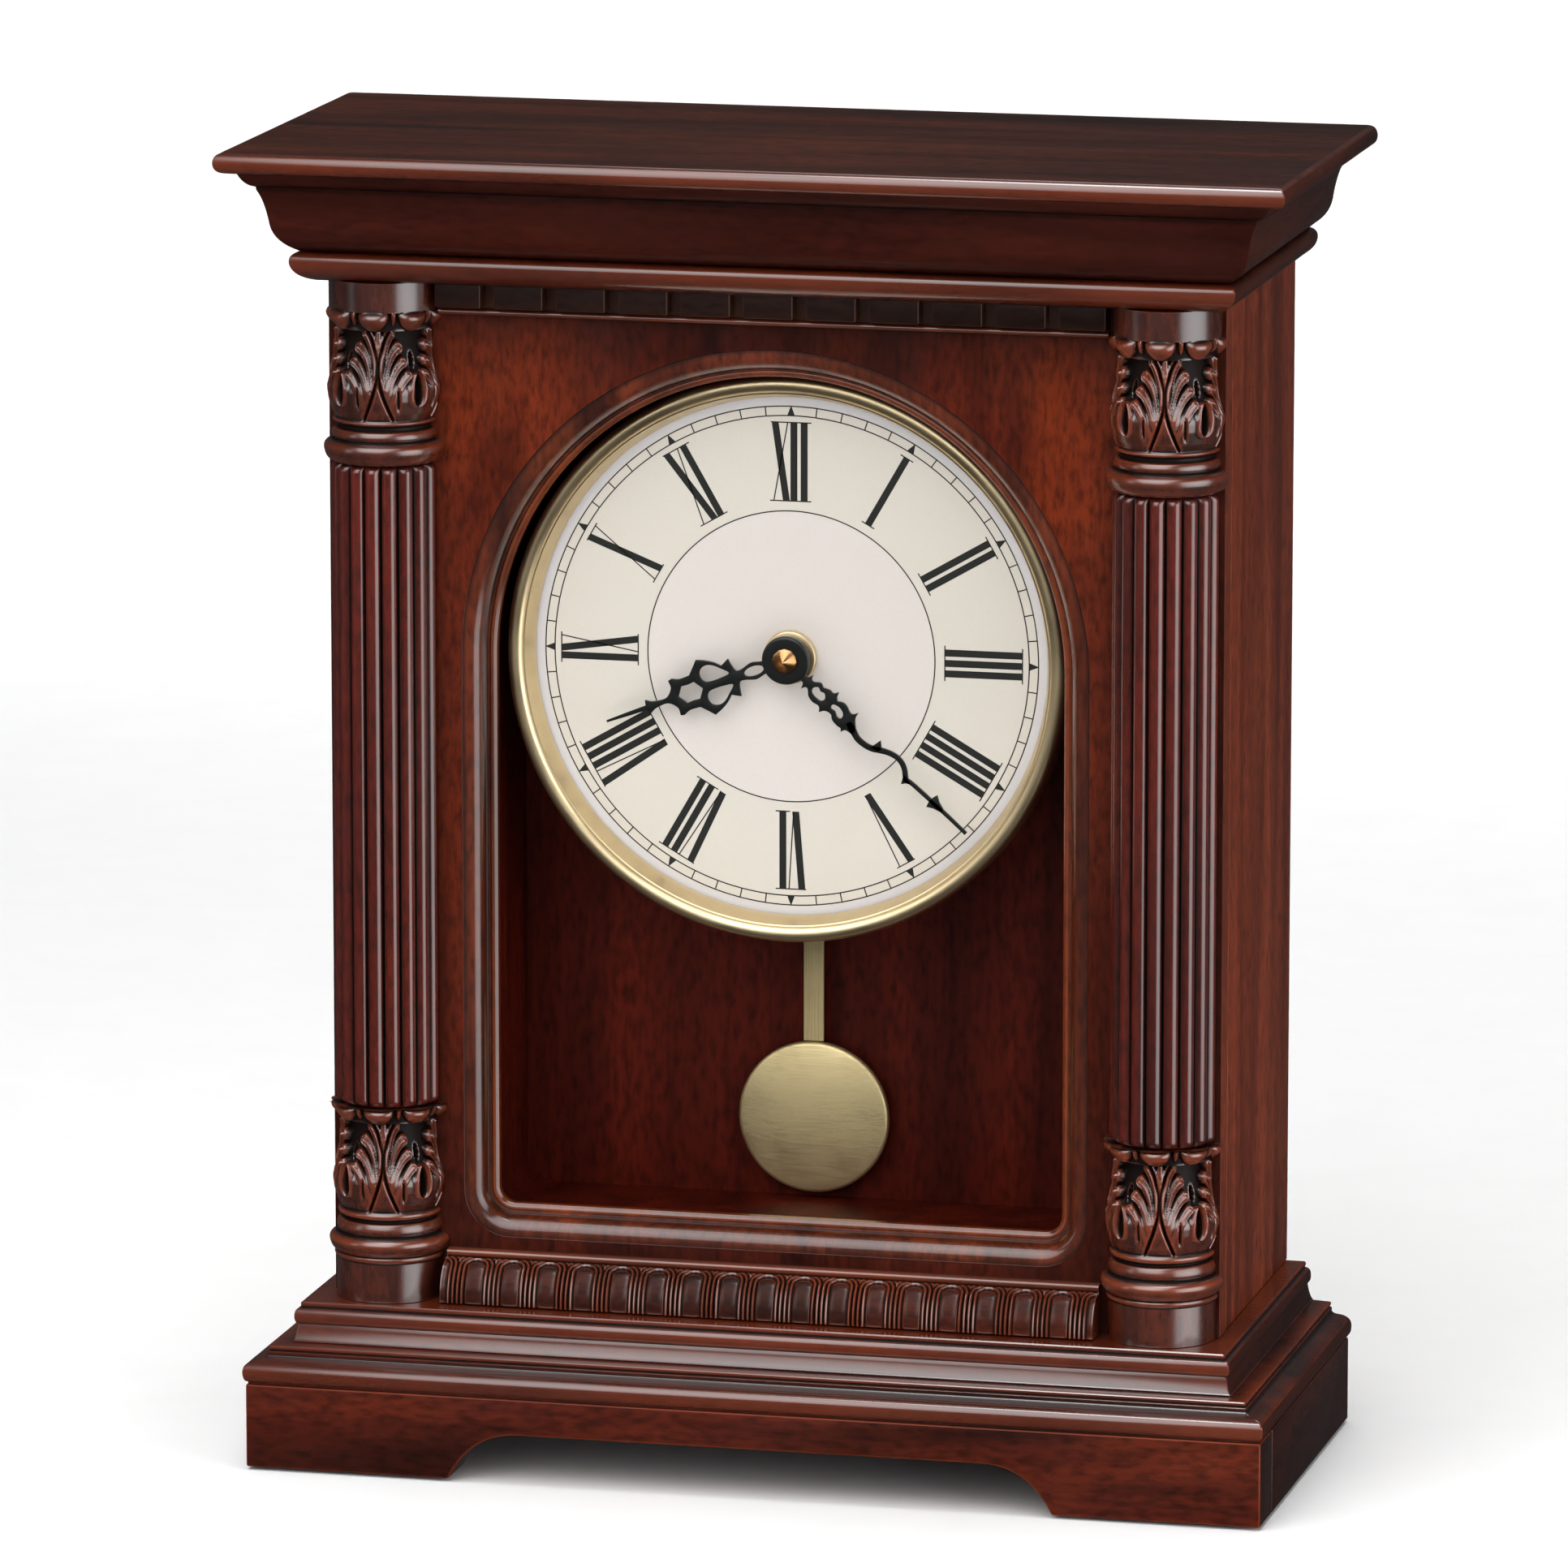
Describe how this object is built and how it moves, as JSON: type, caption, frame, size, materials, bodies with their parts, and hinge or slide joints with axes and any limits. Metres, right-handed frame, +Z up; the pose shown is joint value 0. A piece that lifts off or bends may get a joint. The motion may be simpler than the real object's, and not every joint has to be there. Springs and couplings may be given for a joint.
{
  "type": "mantel clock",
  "caption": "Wooden mantel clock with carved half columns, a stepped cornice, an arched recess with a swinging pendulum, a round dial with fancy hands and a hinged back door.",
  "frame": {"origin": "middle of the footprint, on the surface the clock stands on", "axes": "+Z up, the dial faces -Y, +X is the viewer's right"},
  "size_m": [0.2502, 0.1106, 0.311],
  "materials": {
    "case_wood": "satin lacquer",
    "panel_wood": "satin lacquer",
    "recess_wood": "satin lacquer",
    "carved_wood": "satin lacquer with dark glaze in the hollows",
    "plywood": "raw, lightly stained",
    "polished_brass": "polished",
    "dull_brass": "satin",
    "dial_enamel": "matte",
    "black_metal": "satin black",
    "steel": "bright",
    "black_plastic": "matte",
    "white_nylon": "moulded",
    "circuit": "solder mask",
    "battery_jacket": "gloss jacket",
    "felt": "matte felt"
  },
  "bodies": {
    "case": {"base_board_lower": "case_wood", "base_board_upper": "case_wood", "battery_left": "battery_jacket", "battery_right": "battery_jacket", "bed_moulding": "case_wood", "bezel": "polished_brass", "circuit_board": "circuit", "cleat_left": "plywood", "cleat_right": "plywood", "column_base_left": "carved_wood", "column_base_right": "carved_wood", "column_capital_left": "carved_wood", "column_capital_right": "carved_wood", "column_shaft_left": "carved_wood", "column_shaft_right": "carved_wood", "crown_moulding": "case_wood", "dentil_strip": "carved_wood", "dial_pan": "steel", "dial_plate": "dial_enamel", "dial_post_lower_left": "steel", "dial_post_lower_right": "steel", "dial_post_upper_left": "steel", "dial_post_upper_right": "steel", "dial_washer": "polished_brass", "drive_capsule": "black_plastic", "felt_strip_left": "felt", "felt_strip_right": "felt", "front_board": "panel_wood", "hinge_leaf_case": "polished_brass", "hinge_pin": "polished_brass", "magnet_catch": "black_plastic", "movement_cover": "black_plastic", "movement_housing": "black_plastic", "pendulum_hanger": "steel", "plinth_front": "case_wood", "plinth_left": "case_wood", "plinth_rear": "case_wood", "plinth_right": "case_wood", "recess_back_panel": "recess_wood", "recess_liner": "recess_wood", "reel_moulding": "carved_wood", "side_left": "case_wood", "side_right": "case_wood", "top_board": "case_wood"},
    "minute_train": {"minute_arbor": "steel", "minute_hand": "black_metal", "cap_nut": "polished_brass", "set_knob": "black_plastic"},
    "hour_train": {"hour_wheel": "white_nylon", "hour_hand": "black_metal"},
    "minute_wheel": {"minute_wheel": "white_nylon"},
    "pendulum": {"pendulum_rod": "dull_brass", "pendulum_bob": "dull_brass"},
    "back_door": {"back_door": "plywood", "door_knob": "dull_brass", "hinge_leaf_door": "polished_brass", "speaker_basket": "black_plastic", "speaker_magnet": "steel"},
    "chime_selector": {"chime_selector": "white_nylon"},
    "volume_selector": {"volume_selector": "white_nylon"}
  },
  "joints": [
    {"name": "minute_hand_turn", "type": "hinge", "parent": "case", "child": "minute_train", "pos_m": [0, -0.0085, 0.19115], "axis": [0, 1, 0], "continuous": true},
    {"name": "minute_wheel_turn", "type": "hinge", "parent": "case", "child": "minute_wheel", "pos_m": [-0.012, -0.002, 0.19115], "axis": [0, 1, 0], "continuous": true},
    {"name": "hour_hand_turn", "type": "hinge", "parent": "case", "child": "hour_train", "pos_m": [0, -0.0085, 0.19115], "axis": [0, 1, 0], "continuous": true},
    {"name": "pendulum_swing", "type": "hinge", "parent": "case", "child": "pendulum", "pos_m": [0, 0.0145, 0.168], "axis": [0, 1, 0], "range_deg": [-5, 5]},
    {"name": "back_door_hinge", "type": "hinge", "parent": "case", "child": "back_door", "pos_m": [0.0953, 0.0494, 0.159], "axis": [0, 0, -1], "range_deg": [0, 100]},
    {"name": "chime_selector_slide", "type": "slide", "parent": "case", "child": "chime_selector", "axis": [1, 0, 0], "range_m": [0, 0.008]},
    {"name": "volume_selector_slide", "type": "slide", "parent": "case", "child": "volume_selector", "axis": [-1, 0, 0], "range_m": [0, 0.008]}
  ],
  "couplings": [
    {"joint": "minute_wheel_turn", "follows": "minute_hand_turn", "ratio": -0.33333},
    {"joint": "hour_hand_turn", "follows": "minute_hand_turn", "ratio": 0.083333}
  ]
}
